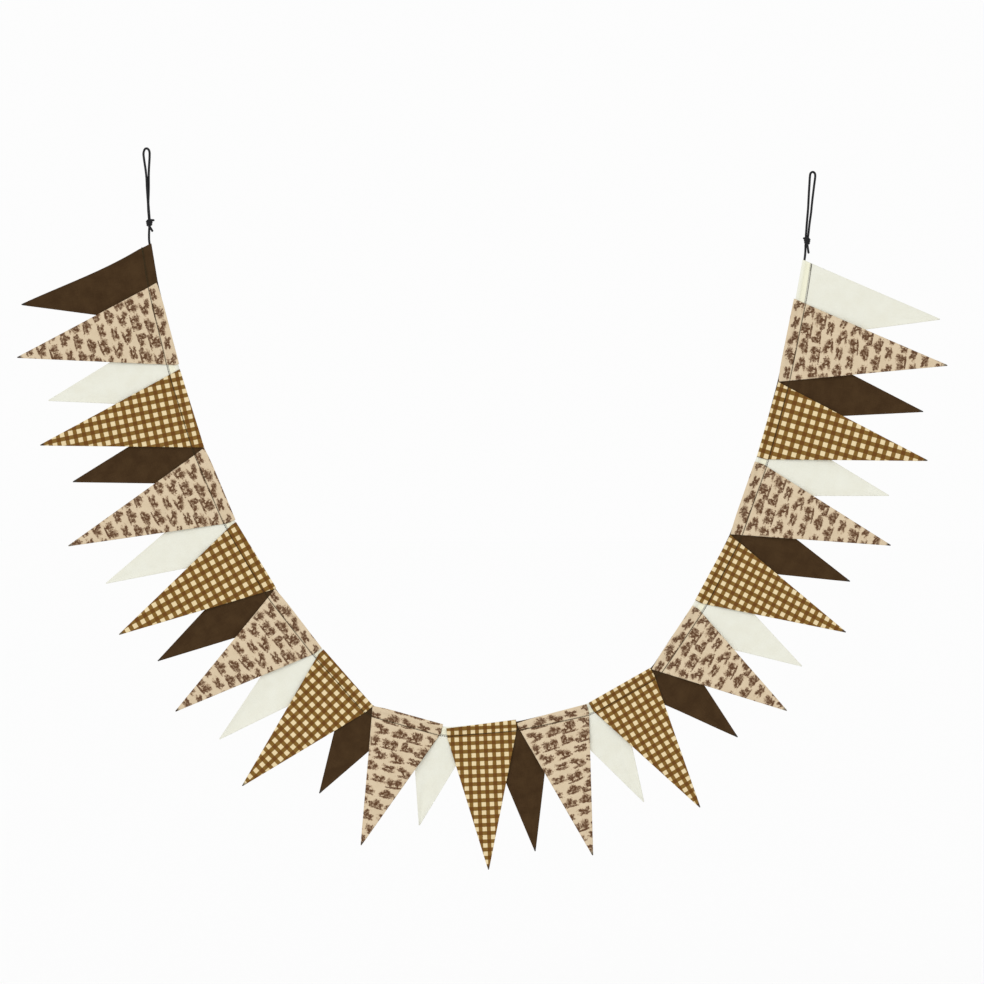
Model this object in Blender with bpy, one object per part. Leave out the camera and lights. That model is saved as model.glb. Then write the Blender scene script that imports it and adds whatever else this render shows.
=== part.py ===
"""Fabric bunting: two rows of pennants on a black elastic cord that hangs in a deep curve.

The back row is folded over the cord, so that its top edge is the casing. The front row has its own
turned-over hem and is sewn in front of the casing, half a pennant further along. A knotted loop at
each end of the cord hangs it up.

Metres, +Z up. The pennants face -Y. The origin is the top of the space inside the left loop.
"""
import math

import bmesh
import bpy
from mathutils import Vector
from mathutils.geometry import interpolate_bezier

MM = 0.001

# Cloth and cord
CLOTH = 1.0 * MM              # thickness of one layer
AIR = 0.4 * MM                # between two layers that lie on each other
CORD_RADIUS = 1.65 * MM
FACE_GAP = 0.3 * MM           # between the faces of pieces that meet end to end
HEM = 21.0 * MM               # depth of the turned-over cloth, in both rows
TIP_WIDTH = 1.4 * MM          # a pennant's blunt point
SHARP_ANGLE = 50.0            # degrees at which an edge of the cloth looks sharp
SHARED_EDGE = 0.8 * MM        # between neighbours in the back row, hidden by the front row

# The casing around the cord, as depths below the fold
CHANNEL = CORD_RADIUS + AIR + CLOTH / 2     # cord's centre to the middle of the cloth
CORD_DEPTH = CHANNEL + CLOTH / 2            # fold to the cord's centre
CASING_CLOSED = 8.5 * MM                    # where the casing's two sides come together
BEND = 12.0 * MM                            # each side of a joint, the stretch in which the line turns
BEND_STEPS = 4                              # straight steps in which a bend is made
ROUND_STEPS = 4                             # and in which the cloth goes over the cord

# The front row's hem, which bridges the casing
FRONT_LAYER = 1.5 * MM        # middle of the casing's front to the middle of the hem in front of it
FRONT_RIDGE = 5.5 * MM        # depth to which it stands out over the casing
FRONT_CLOSED = 12.0 * MM      # depth from which it lies flat
CORNER_DIP = 1.8 * MM         # a printed pennant's first corner sits this far below the brown fold
DIP_RUN = 0.3                 # share of its width over which the dip dies out
LAST_CORNER_RISE = 3.2 * MM   # the last pennant's outer corner stands this far above the cream fold

# Shares of a pennant's width at which the front row is divided, and of its length below the hem
FRONT_COLUMNS = (0.0, 0.12, 0.3, 0.65, 1.0)
BODY_ROWS = (0.25, 0.5, 0.75, 1.0)

# Line of the folds: free runs before and after the front row (run in mm, degrees below level)
LINE_START = Vector((8.2, 0.0, -152.0)) * MM
FIRST_RUN = (62.4, 80.6)
LAST_RUN = (61.3, -79.8)

# Front row, left to right: cloth, run of the fold line in mm, heading in degrees below level,
# drop to the point in mm, how far the point leans along the line in mm, gap before the next pennant
# in mm, how far the point swings forward in mm, how far the middle bellies forward in mm
FRONT_ROW = (
    ("toile", 138.4, 76.0, 249.5, -9.0, 8.0, 4.0, 1.5),
    ("gingham", 135.6, 72.7, 250.0, -14.5, 0.6, 2.0, 2.5),
    ("toile", 127.8, 67.2, 267.0, -6.0, 4.0, 5.0, 2.0),
    ("gingham", 125.1, 59.0, 259.0, -4.0, 0.6, 3.0, 1.0),
    ("toile", 122.0, 52.2, 251.5, -5.5, 6.4, 6.0, 2.5),
    ("gingham", 122.0, 48.7, 244.0, 19.0, 0.6, 2.5, 2.0),
    ("toile", 122.4, 16.2, 221.5, -18.5, 9.2, 7.0, 3.0),
    ("gingham", 113.7, -5.1, 236.0, -10.0, 0.6, 4.0, 1.5),
    ("toile", 116.3, -14.0, 239.0, 7.5, 4.0, 5.5, 3.5),
    ("gingham", 116.0, -28.5, 236.0, 21.0, 0.6, 3.0, 2.0),
    ("toile", 126.6, -57.1, 218.0, -1.5, 9.0, 6.0, 2.5),
    ("gingham", 123.2, -62.6, 236.5, 8.0, 0.6, 2.0, 1.5),
    ("toile", 126.9, -70.6, 251.0, 6.0, 9.6, 4.5, 2.0),
    ("gingham", 129.0, -74.5, 265.5, 7.0, 0.6, 3.5, 2.5),
    ("toile", 135.2, -77.5, 263.5, 17.0, 0.0, 5.0, 1.5),
)

# Back row, left to right, each from the middle of one front run to the middle of the next: cloth,
# drop, lean, swing backward and belly backward, all in mm
BACK_ROW = (
    ("brown", 224.5, -15.5, 4.0, 2.5),
    ("cream", 218.0, -5.5, 2.5, 1.5),
    ("brown", 220.5, -20.5, 5.0, 2.0),
    ("cream", 236.0, -5.5, 3.0, 1.0),
    ("brown", 226.0, -11.0, 4.5, 2.0),
    ("cream", 226.5, 6.0, 2.0, 2.5),
    ("brown", 181.0, 2.5, 6.0, 2.0),
    ("cream", 176.5, -26.5, 5.0, 3.0),
    ("brown", 214.5, -7.5, 3.5, 2.0),
    ("cream", 193.0, 28.0, 4.5, 3.0),
    ("brown", 188.0, 23.0, 5.5, 1.5),
    ("cream", 209.0, -0.5, 3.0, 2.0),
    ("brown", 210.0, 6.0, 4.0, 2.5),
    ("cream", 224.0, 8.0, 2.5, 1.0),
    ("brown", 239.0, 8.5, 5.0, 2.0),
    ("cream", 236.0, 16.5, 3.5, 2.0),
)

# Knots: centre (the right one measured from the cord's right end), half sizes of the lump and, from
# the centre, the ends of the two short tails
LEFT_KNOT = Vector((4.8, 0.0, -117.65)) * MM
RIGHT_KNOT_FROM_END = Vector((3.9, 0.0, 33.1)) * MM
KNOT_HALF = Vector((4.6, 4.2, 5.4)) * MM
LEFT_TAILS = ((7.6, -1.0, 4.2), (5.3, -2.0, -14.0))
RIGHT_TAILS = ((-6.4, -1.0, 4.6), (0.9, -2.8, -18.4))
STEM_LEAVES = ((-0.9, 1.2, -5.8), (-1.9, 1.9, -5.7))     # left and right, where the stem meets the knot

# Loops, up one strand and down the other, in mm from the knot's centre
LEFT_LOOP = (
    (-0.5, -1.8, 5.9), (-1.7, -1.8, 20.2), (-2.2, -1.8, 32.0), (-3.5, -1.6, 49.8), (-4.2, -1.2, 61.8),
    (-4.8, -1.0, 73.6), (-6.2, -0.4, 85.4), (-8.2, 0.0, 98.4), (-9.6, 0.0, 109.1), (-9.0, 0.0, 114.8),
    (-7.2, 0.0, 118.3), (-4.8, 0.0, 119.3), (-2.2, 0.0, 118.3), (-0.4, 0.0, 115.2), (0.2, 0.0, 111.2),
    (0.0, 0.0, 101.9), (-0.8, 0.3, 90.1), (-1.3, 0.8, 79.5), (-1.4, 1.2, 68.8), (-1.4, 1.5, 56.0),
    (-1.8, 1.8, 43.2), (-2.1, 1.9, 32.0), (-1.2, 1.9, 20.2), (-0.2, 1.9, 5.9),
)
RIGHT_LOOP = (
    (-1.7, -0.8, 5.9), (-0.8, -0.3, 20.2), (0.5, 0.0, 36.5), (1.9, 0.0, 52.6), (3.0, 0.0, 74.4),
    (4.0, 0.0, 90.6), (5.0, 0.0, 105.4), (6.6, 0.0, 109.4), (9.8, 0.0, 110.7), (12.6, 0.0, 108.3),
    (13.3, 0.0, 103.5), (11.7, 0.0, 90.6), (10.1, 0.0, 77.6), (8.3, 0.0, 62.4), (6.6, 0.0, 45.1),
    (4.6, 0.0, 31.0), (3.0, 0.2, 17.0), (1.8, 0.8, 5.9),
)

COLOURS = {
    "toile": (0.62, 0.50, 0.36),
    "gingham": (0.50, 0.30, 0.12),
    "brown": (0.05, 0.03, 0.015),
    "cream": (0.84, 0.82, 0.72),
    "cord": (0.012, 0.012, 0.014),
}


def clear_scene():
    for obj in list(bpy.data.objects):
        bpy.data.objects.remove(obj, do_unlink=True)


def finish(obj, kind):
    """Give a piece its own material and smooth shading with sharp edges kept."""
    material = bpy.data.materials.new(obj.name)
    material.use_nodes = True
    shader = material.node_tree.nodes["Principled BSDF"]
    shader.inputs["Base Color"].default_value = (*COLOURS[kind], 1.0)
    shader.inputs["Roughness"].default_value = 0.6 if kind == "cord" else 0.9
    obj.data.materials.append(material)
    if obj.type == "MESH":
        obj.data.shade_smooth()
        obj.data.set_sharp_from_angle(angle=math.radians(SHARP_ANGLE))
    return obj


# ---- the line of the folds ----

def along(heading):
    """Unit vector along the line, left to right."""
    angle = math.radians(heading)
    return Vector((math.cos(angle), 0.0, -math.sin(angle)))


def outward(direction):
    """Unit vector in which a pennant drops from a line that runs in this direction."""
    return Vector((direction.z, 0.0, -direction.x))


def line_corners():
    """Ends of every run, from the left end of the cloth to the right end."""
    runs = [FIRST_RUN, *[(row[1], row[2]) for row in FRONT_ROW], LAST_RUN]
    corners = [LINE_START]
    for run, heading in runs:
        corners.append(corners[-1] + along(heading) * run * MM)
    return corners


def bend_stations(corners, index):
    """Points and drop directions of the line as it turns smoothly at one corner."""
    before = (corners[index - 1] - corners[index]).normalized()
    after = (corners[index + 1] - corners[index]).normalized()
    first = corners[index] + before * BEND
    last = corners[index] + after * BEND
    stations = []
    for step in range(BEND_STEPS + 1):
        share = step / BEND_STEPS
        start = first.lerp(corners[index], share)
        end = corners[index].lerp(last, share)
        direction = (end - start).normalized()
        stations.append((start.lerp(end, share), outward(direction)))
    return stations


# ---- cloth ----

def arch(share):
    """Nought at both ends and one in the middle."""
    return 4 * share * (1 - share)


def thick_section(points):
    """Both faces of a sheet whose middle runs through (depth, y) points."""
    faces = ([], [])
    for index, point in enumerate(points):
        back = points[max(index - 1, 0)]
        ahead = points[min(index + 1, len(points) - 1)]
        into = (point - back).normalized() if index else (ahead - point).normalized()
        out = (ahead - point).normalized() if index < len(points) - 1 else into
        mitre = (into + out).normalized()
        side = Vector((-mitre.y, mitre.x)) / max(mitre.dot(out), 0.5)
        faces[0].append(point + side * CLOTH / 2)
        faces[1].append(point - side * CLOTH / 2)
    return faces


def casing_section():
    """Back row: up from the hem's edge behind, around the cord and down the front."""
    half = (CLOTH + AIR) / 2
    points = [Vector((HEM, half)), Vector((CASING_CLOSED, half))]
    for step in range(ROUND_STEPS + 1):
        angle = math.pi * step / ROUND_STEPS
        points.append(Vector((CORD_DEPTH - CHANNEL * math.sin(angle), CHANNEL * math.cos(angle))))
    points += [Vector((CASING_CLOSED, -half)), Vector((HEM, -half))]
    return points


def hem_section():
    """Front row: up from the hem's edge behind, over the fold and down the front."""
    layer = CLOTH + AIR
    flat = -layer / 2 - FRONT_LAYER
    ridge = -CHANNEL - FRONT_LAYER
    fold = CLOTH / 2
    return [
        Vector((HEM, flat)),
        Vector((FRONT_CLOSED, flat)),
        Vector((FRONT_RIDGE, ridge)),
        Vector((fold + layer / 2, ridge)),
        Vector((fold, ridge - layer / 2)),
        Vector((fold + layer / 2, ridge - layer)),
        Vector((FRONT_RIDGE, ridge - layer)),
        Vector((FRONT_CLOSED, flat - layer)),
        Vector((HEM, flat - layer)),
    ]


def pennant(name, kind, section, stations, tip, swing, belly):
    """One piece of cloth: the folded section along the stations, narrowing straight to its point.

    A station is the share of the width, a point on the fold and the drop direction there. Swing and
    belly are along Y, where the front row's are negative.
    """
    width = (stations[-1][1] - stations[0][1]).length
    last_share = 1.0 - TIP_WIDTH / width
    faces = thick_section(section)
    mesh = bmesh.new()
    grids = []
    for face in faces:
        columns = []
        for across, base, drop in stations:
            to_tip = tip - base
            reach = to_tip.dot(drop)
            column = [base + to_tip * (p.x / reach) + Vector((0.0, p.y, 0.0)) for p in face]
            hem_share = HEM / reach
            for share in BODY_ROWS:
                bulge = arch(across) * arch(share) * belly
                down = hem_share + (last_share - hem_share) * share
                y = face[-1].y + swing * share ** 2 + bulge
                column.append(base + to_tip * down + Vector((0.0, y, 0.0)))
            columns.append([mesh.verts.new(point) for point in column])
        grids.append(columns)
    outer, inner = grids
    rows = len(outer[0])
    columns = len(outer)
    for c in range(columns - 1):
        for r in range(rows - 1):
            mesh.faces.new((outer[c][r], outer[c + 1][r], outer[c + 1][r + 1], outer[c][r + 1]))
            mesh.faces.new((inner[c][r], inner[c][r + 1], inner[c + 1][r + 1], inner[c + 1][r]))
        for r in (0, rows - 1):
            mesh.faces.new((outer[c][r], outer[c + 1][r], inner[c + 1][r], inner[c][r]))
    for r in range(rows - 1):
        for c in (0, columns - 1):
            mesh.faces.new((outer[c][r], outer[c][r + 1], inner[c][r + 1], inner[c][r]))
    bmesh.ops.recalc_face_normals(mesh, faces=mesh.faces)
    data = bpy.data.meshes.new(name)
    mesh.to_mesh(data)
    mesh.free()
    obj = bpy.data.objects.new(name, data)
    bpy.context.scene.collection.objects.link(obj)
    return finish(obj, kind)


def front_stations(start, end, dip, rise):
    """Columns of a front pennant on its straight fold, with its first corner low or its last high."""
    drop = outward((end - start).normalized())
    stations = []
    for share in FRONT_COLUMNS:
        low = dip * max(1 - share / DIP_RUN, 0.0) ** 2
        stations.append((share, start.lerp(end, share) + drop * (low - rise * share), drop))
    return stations


def front_row(corners):
    counts = {}
    gap_before = 0.0
    for index, row in enumerate(FRONT_ROW):
        kind, _, _, drop, lean, gap, swing, belly = row
        start, end = corners[index + 1], corners[index + 2]
        direction = (end - start).normalized()
        tip = (start + end) / 2 + direction * lean * MM + outward(direction) * drop * MM
        counts[kind] = counts.get(kind, 0) + 1
        dip = CORNER_DIP if kind == "toile" else 0.0
        rise = LAST_CORNER_RISE if index == len(FRONT_ROW) - 1 else 0.0
        stations = front_stations(
            start + direction * gap_before * MM / 2, end - direction * gap * MM / 2, dip, rise)
        name = f"{kind}_{counts[kind]}"
        pennant(name, kind, hem_section(), stations, tip, -swing * MM, -belly * MM)
        gap_before = gap


def back_row(corners):
    counts = {}
    middles = [(a + b) / 2 for a, b in zip(corners[1:-2], corners[2:-1])]
    ends = [corners[0], *middles, corners[-1]]
    for index, (kind, drop, lean, swing, belly) in enumerate(BACK_ROW):
        start, end = ends[index], ends[index + 1]
        chord = (end - start).normalized()
        tip = (start + end) / 2 + chord * lean * MM + outward(chord) * drop * MM
        bend = bend_stations(corners, index + 1)
        into = (bend[0][0] - start).normalized()
        out = (end - bend[-1][0]).normalized()
        first = start + into * SHARED_EDGE / 2
        last = end - out * SHARED_EDGE / 2
        places = [(first, outward(into)), *bend, (last, outward(out))]
        length = sum((b[0] - a[0]).length for a, b in zip(places, places[1:]))
        stations = []
        travelled = 0.0
        previous = first
        for point, direction in places:
            travelled += (point - previous).length
            previous = point
            stations.append((travelled / length, point, direction))
        counts[kind] = counts.get(kind, 0) + 1
        name = f"{kind}_{counts[kind]}"
        pennant(name, kind, casing_section(), stations, tip, swing * MM, belly * MM)


# ---- cord ----

def cord(name, points):
    """A round cord through the points, as a curve with filled ends."""
    data = bpy.data.curves.new(name, "CURVE")
    data.dimensions = "3D"
    data.bevel_depth = CORD_RADIUS
    data.bevel_resolution = 2
    data.use_fill_caps = True
    spline = data.splines.new("POLY")
    spline.points.add(len(points) - 1)
    for target, point in zip(spline.points, points):
        target.co = (*point, 1.0)
    spline.use_smooth = True
    obj = bpy.data.objects.new(name, data)
    bpy.context.scene.collection.objects.link(obj)
    return finish(obj, "cord")


def smooth_route(route, centre, steps=2):
    """Points of a smooth curve through a route given in mm from a centre."""
    points = [centre + Vector(place) * MM for place in route]
    smooth = [points[0]]
    for index in range(len(points) - 1):
        before = points[max(index - 1, 0)]
        start, end = points[index], points[index + 1]
        after = points[min(index + 2, len(points) - 1)]
        handle_out = start + (end - before) / 6
        handle_in = end - (after - start) / 6
        smooth += interpolate_bezier(start, handle_out, handle_in, end, steps + 1)[1:]
    return smooth


def cord_line(corners):
    """Centre of the cord inside the casings, from end to end of the cloth."""
    first = outward((corners[1] - corners[0]).normalized())
    last = outward((corners[-1] - corners[-2]).normalized())
    points = [corners[0] + first * CORD_DEPTH]
    for index in range(1, len(corners) - 1):
        points += [point + drop * CORD_DEPTH for point, drop in bend_stations(corners, index)]
    points.append(corners[-1] + last * CORD_DEPTH)
    return points


def stem(name, end, beyond, knot, leaves):
    """The free stretch from the casing's end to the knot."""
    start = end + beyond * FACE_GAP
    finish_at = knot + Vector(leaves) * MM
    handle = (finish_at - start).length / 3
    middle = start + beyond * handle
    points = interpolate_bezier(start, middle, finish_at.lerp(middle, 0.5), finish_at, 4)
    return cord(name, points)


def knot(name, centre, tails):
    """A tight lump with two short ends of the cord, as one piece."""
    mesh = bmesh.new()
    bmesh.ops.create_icosphere(mesh, subdivisions=2, radius=1.0)
    bmesh.ops.scale(mesh, vec=KNOT_HALF, verts=mesh.verts)
    data = bpy.data.meshes.new(name)
    mesh.to_mesh(data)
    mesh.free()
    obj = bpy.data.objects.new(name, data)
    bpy.context.scene.collection.objects.link(obj)
    obj.location = centre
    for index, tail in enumerate(tails):
        add_tail(obj, f"{name}_tail_{index + 1}", Vector(tail) * MM)
    return finish(obj, "cord")


def add_tail(obj, name, reach):
    """Join a straight, round end of cord to a knot."""
    mesh = bmesh.new()
    bmesh.ops.create_cone(mesh, cap_ends=True, segments=8, radius1=CORD_RADIUS, radius2=CORD_RADIUS,
                          depth=reach.length)
    data = bpy.data.meshes.new(name)
    mesh.to_mesh(data)
    mesh.free()
    tail = bpy.data.objects.new(name, data)
    bpy.context.scene.collection.objects.link(tail)
    tail.location = obj.location + reach / 2
    tail.rotation_mode = "QUATERNION"
    tail.rotation_quaternion = reach.to_track_quat("Z", "Y")
    tail.hide_render = True
    tail.display_type = "WIRE"
    union = obj.modifiers.new(name, "BOOLEAN")
    union.operation = "UNION"
    union.solver = "EXACT"
    union.object = tail


def main():
    clear_scene()
    corners = line_corners()
    back_row(corners)
    front_row(corners)

    inside = cord_line(corners)
    cord("casing_cord", inside)
    right_knot = inside[-1] + RIGHT_KNOT_FROM_END
    leftward = (inside[0] - inside[1]).normalized()
    rightward = (inside[-1] - inside[-2]).normalized()
    stem("left_stem", inside[0], leftward, LEFT_KNOT, STEM_LEAVES[0])
    stem("right_stem", inside[-1], rightward, right_knot, STEM_LEAVES[1])
    knot("left_knot", LEFT_KNOT, LEFT_TAILS)
    knot("right_knot", right_knot, RIGHT_TAILS)
    cord("left_loop", smooth_route(LEFT_LOOP, LEFT_KNOT))
    cord("right_loop", smooth_route(RIGHT_LOOP, right_knot))


main()
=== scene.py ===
# %% [markdown]
# # Fabric bunting
#
# Two rows of pennants hang in a deep curve from a knotted loop at each end. The back row, of plain
# brown and cream cloth, is folded over a black elastic cord. The front row, of printed and of checked
# cloth, has its own turned-over hem and is sewn in front, half a pennant further along. One line of
# stitches goes through all the layers.
#
# The solids are already packed as a frame. They set every size and place, and this script dresses
# them: real knots, thin cloth cut flat and then folded, thread, and finishes.

# %% Load the frame
import math
import random
from collections import namedtuple

import bmesh
import bpy
import numpy as np
from mathutils import Matrix, Vector
from mathutils.geometry import interpolate_bezier


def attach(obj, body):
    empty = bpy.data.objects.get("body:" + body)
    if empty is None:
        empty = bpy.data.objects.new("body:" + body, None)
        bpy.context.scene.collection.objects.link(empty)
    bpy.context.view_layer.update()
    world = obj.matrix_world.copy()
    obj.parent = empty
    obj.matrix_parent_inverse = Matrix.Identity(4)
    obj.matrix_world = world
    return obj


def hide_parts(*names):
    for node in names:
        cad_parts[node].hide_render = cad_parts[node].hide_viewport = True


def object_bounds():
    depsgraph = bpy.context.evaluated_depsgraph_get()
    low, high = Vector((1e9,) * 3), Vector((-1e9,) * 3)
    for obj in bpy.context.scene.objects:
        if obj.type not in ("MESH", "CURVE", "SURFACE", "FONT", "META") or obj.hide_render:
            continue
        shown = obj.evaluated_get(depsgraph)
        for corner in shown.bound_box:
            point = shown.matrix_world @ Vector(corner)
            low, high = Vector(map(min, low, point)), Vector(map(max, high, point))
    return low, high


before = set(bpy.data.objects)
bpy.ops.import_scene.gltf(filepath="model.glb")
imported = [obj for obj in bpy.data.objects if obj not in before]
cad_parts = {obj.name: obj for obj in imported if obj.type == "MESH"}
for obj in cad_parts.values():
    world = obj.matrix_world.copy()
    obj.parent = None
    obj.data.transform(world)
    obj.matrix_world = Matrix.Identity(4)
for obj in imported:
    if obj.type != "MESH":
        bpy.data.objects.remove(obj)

MM = 0.001
cad_box = [list(corner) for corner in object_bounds()]
print("solids' box:", cad_box)

# %% [markdown]
# ## The camera
#
# A bunting is long and thin, and every point of it should sit at its true place in the picture. A
# long lens far away does that: it sees the cloth almost straight on, from end to end.

# %% Camera
PICTURE_WIDTH = 1.5744  # metres of the hanging plane across the picture
PICTURE_CENTRE = Vector((0.5528, 0.0, -0.548))  # the point that the lens aims at
LENS = 85.0
SENSOR = 36.0


def add_object(name, data):
    obj = bpy.data.objects.new(name, data)
    bpy.context.scene.collection.objects.link(obj)
    return obj


camera_data = bpy.data.cameras.new("camera")
camera_data.lens = LENS
camera_data.sensor_width = SENSOR
camera = add_object("camera", camera_data)
camera_distance = PICTURE_WIDTH * LENS / SENSOR
camera.location = PICTURE_CENTRE - Vector((0.0, camera_distance, 0.0))
camera.rotation_euler = (math.radians(90), 0.0, 0.0)
bpy.context.scene.camera = camera
print("camera stands", round(camera_distance, 3), "m in front")

# %% [markdown]
# ## The line of the folds
#
# Everything hangs from one line: the top edge of the cloth. It is drawn as a surveyor would walk it,
# as straight runs with a length and a heading, one for each front pennant and a free run before and
# after them. That is easier to check than a list of corners: a run is simply a pennant's width.

# %% Line of the folds
Front = namedtuple("Front", "cloth run heading drop lean first last rise_first rise_last swing belly wave")
LINE_START = Vector((7.8, 0.0, -149.9)) * MM
FIRST_RUN = (64.6, 80.6)  # length in mm and degrees below level
LAST_RUN = (64.6, -79.8)

# Printed and checked cloth in turn: run of the fold in mm, heading in degrees below level, drop to
# the point, how far the point leans along the line, its first and its last corner (how far inside
# the run, and how deep the shoulder below it is), how far the fold stands above the line at both,
# swing of the point and belly of the middle, both forward, and the height of its soft waves
FRONT_ROW = [Front(("toile", "gingham")[number % 2], *row) for number, row in enumerate((
    (138.4, 76.0, 248.7, -7.4, (-0.5, 0.0), (2.2, 6.0), 0.4, 2.0, 4.0, 1.5, 0.6),
    (135.6, 72.7, 250.8, -14.1, (4.0, 0.0), (0.3, 0.0), 0.8, 0.9, 2.0, 2.5, 0.8),
    (127.8, 67.2, 262.5, -3.1, (0.3, 0.0), (-1.9, 15.5), 2.3, 2.2, 5.0, 2.0, 0.7),
    (125.1, 59.0, 254.0, -2.9, (0.0, 8.0), (-1.0, 4.0), 1.3, 2.1, 3.0, 1.0, 0.6),
    (122.0, 52.2, 248.0, -3.6, (0.3, 0.0), (-3.0, 15.5), 1.4, 0.8, 6.0, 2.5, 0.8),
    (122.0, 48.7, 242.4, 19.6, (-1.0, 10.0), (-3.1, 15.5), 1.6, 1.7, 2.5, 2.0, 0.7),
    (122.4, 16.2, 219.9, -16.6, (0.3, 0.0), (-0.4, 15.5), 2.6, 4.1, 7.0, 3.0, 1.0),
    (113.7, -5.1, 234.4, -9.0, (-2.4, 17.0), (-3.7, 14.0), -1.4, 3.0, 4.0, 1.5, 0.7),
    (116.3, -14.0, 239.0, 8.1, (-1.7, 7.0), (-2.7, 15.5), -1.6, -0.1, 5.5, 3.5, 2.2),
    (116.0, -28.5, 234.1, 21.6, (-2.4, 15.5), (-2.2, 14.0), 0.2, 2.6, 3.0, 2.0, 0.7),
    (126.6, -57.1, 219.9, -1.1, (0.3, 0.0), (1.5, 12.0), 0.7, -0.6, 6.0, 2.5, 0.8),
    (123.2, -62.6, 239.7, 8.1, (0.8, 12.0), (0.3, 0.0), 0.4, -1.6, 2.0, 1.5, 0.6),
    (126.9, -70.6, 251.0, 5.2, (0.3, 0.0), (0.1, 15.5), 0.2, 0.6, 4.5, 2.0, 0.7),
    (129.0, -74.5, 267.4, 6.7, (0.1, 15.5), (0.3, 0.0), -0.4, -1.4, 3.5, 2.5, 0.8),
    (135.2, -77.5, 261.6, 16.0, (0.0, 0.0), (0.0, 0.0), 0.4, 3.0, 5.0, 1.5, 0.7),
))]


def along(heading):
    """Unit vector along the line, left to right."""
    angle = math.radians(heading)
    return Vector((math.cos(angle), 0.0, -math.sin(angle)))


def outward(direction):
    """Unit vector in which a pennant drops from a line that runs in this direction."""
    return Vector((direction.z, 0.0, -direction.x))


runs = [FIRST_RUN] + [(row.run, row.heading) for row in FRONT_ROW] + [LAST_RUN]
corners = [LINE_START]
for run, heading in runs:
    corners.append(corners[-1] + along(heading) * run * MM)
print("fold line:", round(sum(run for run, heading in runs)), "mm in", len(runs), "runs")

# %% [markdown]
# At each corner the casing doesn't kink: the cord inside is stiff enough to turn it over about
# 24 mm. A quadratic Bezier curve from 12 mm before the corner to 12 mm after it has just the
# directions of the two runs at its ends.

# %% Rounded corners
BEND = 12.0 * MM
FINE_BEND = 8  # straight steps in one bend


def bend_stations(index):
    """Points and drop directions of the line as it turns smoothly at one corner."""
    corner = corners[index]
    first = corner + (corners[index - 1] - corner).normalized() * BEND
    last = corner + (corners[index + 1] - corner).normalized() * BEND
    stations = []
    for step in range(FINE_BEND + 1):
        share = step / FINE_BEND
        start = first.lerp(corner, share)
        end = corner.lerp(last, share)
        stations.append((start.lerp(end, share), outward((end - start).normalized())))
    return stations


line = [(corners[0], outward(along(FIRST_RUN[1])))]
for index in range(1, len(corners) - 1):
    line += bend_stations(index)
line.append((corners[-1], outward(along(LAST_RUN[1]))))
print("line:", len(line), "stations")

# %% [markdown]
# ## The elastic cord
#
# The cord is one round black elastic, 3.3 mm thick in the casings and a little more where nothing
# presses on it. It comes out at each end of the casing, goes up through a knot, makes a long narrow
# loop and comes back down into the same knot. Each end is therefore one free cord, whose route is a
# list of given places, as the cord lies. A Catmull-Rom curve through them has no kinks.

# %% Route of the cord
CORD_RADIUS = 1.65 * MM
LOOP_RADIUS = 1.85 * MM  # where it is free
CLOTH = 0.55 * MM  # thickness of the cloth
CORD_DEPTH = 3.05 * MM  # from the fold down to the middle of the cord inside it
LEFT_KNOT = Vector((4.8, 0.0, -117.65)) * MM
RIGHT_KNOT_FROM_END = Vector((3.9, 0.0, 29.7)) * MM
STEM_LEAVES = ((-0.4, 1.2, -5.8), (-1.9, 1.9, -5.7))

# Loops, up one strand and down the other, in mm from the knot's centre
LEFT_LOOP = (
    (-0.5, -1.8, 5.9), (-1.7, -1.8, 20.2), (-2.2, -1.8, 32.0), (-3.5, -1.6, 49.8), (-4.2, -1.2, 61.8),
    (-4.8, -1.0, 73.6), (-6.2, -0.4, 85.4), (-8.2, 0.0, 98.4), (-9.6, 0.0, 109.1), (-9.0, 0.0, 114.8),
    (-7.2, 0.0, 118.3), (-4.8, 0.0, 119.3), (-2.2, 0.0, 118.3), (-0.4, 0.0, 115.2), (0.2, 0.0, 111.2),
    (0.0, 0.0, 101.9), (-0.8, 0.3, 90.1), (-1.3, 0.8, 79.5), (-1.4, 1.2, 68.8), (-1.4, 1.5, 56.0),
    (-1.8, 1.8, 43.2), (-2.1, 1.9, 32.0), (-1.2, 1.9, 20.2), (-0.2, 1.9, 5.9),
)
RIGHT_LOOP = (
    (-1.7, -0.8, 5.9), (-0.8, -0.3, 20.2), (0.5, 0.0, 36.5), (1.9, 0.0, 52.6), (3.0, 0.0, 74.4),
    (4.0, 0.0, 90.6), (5.0, 0.0, 105.4), (6.6, 0.0, 109.4), (9.8, 0.0, 110.7), (12.6, 0.0, 108.3),
    (13.3, 0.0, 103.5), (11.7, 0.0, 90.6), (10.1, 0.0, 77.6), (8.3, 0.0, 62.4), (6.6, 0.0, 45.1),
    (4.6, 0.0, 31.0), (3.0, 0.2, 17.0), (1.8, 0.8, 5.9),
)
inside = [point + drop * CORD_DEPTH for point, drop in line]


def smooth_route(points, steps):
    """A Catmull-Rom curve through the points, in so many steps from one to the next."""
    route = [points[0]]
    for index in range(len(points) - 1):
        before = points[max(index - 1, 0)]
        start, end = points[index], points[index + 1]
        after = points[min(index + 2, len(points) - 1)]
        handle_out = start + (end - before) / 6
        handle_in = end - (after - start) / 6
        route += interpolate_bezier(start, handle_out, handle_in, end, steps + 1)[1:]
    return route


def free_route(end, inner, knot, leaves, loop):
    """Out of the casing, up to the knot, round the loop and back into the knot."""
    handle = (knot - end).length / 4
    outside = end + (end - inner).normalized() * handle
    enters = knot + Vector(leaves) * MM
    stem = interpolate_bezier(end, outside, enters.lerp(outside, 0.4), enters, 6)
    strands = [knot + Vector(place) * MM for place in loop]
    return smooth_route([*stem, knot, *strands, knot.lerp(strands[-1], 0.1)], 3)


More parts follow.
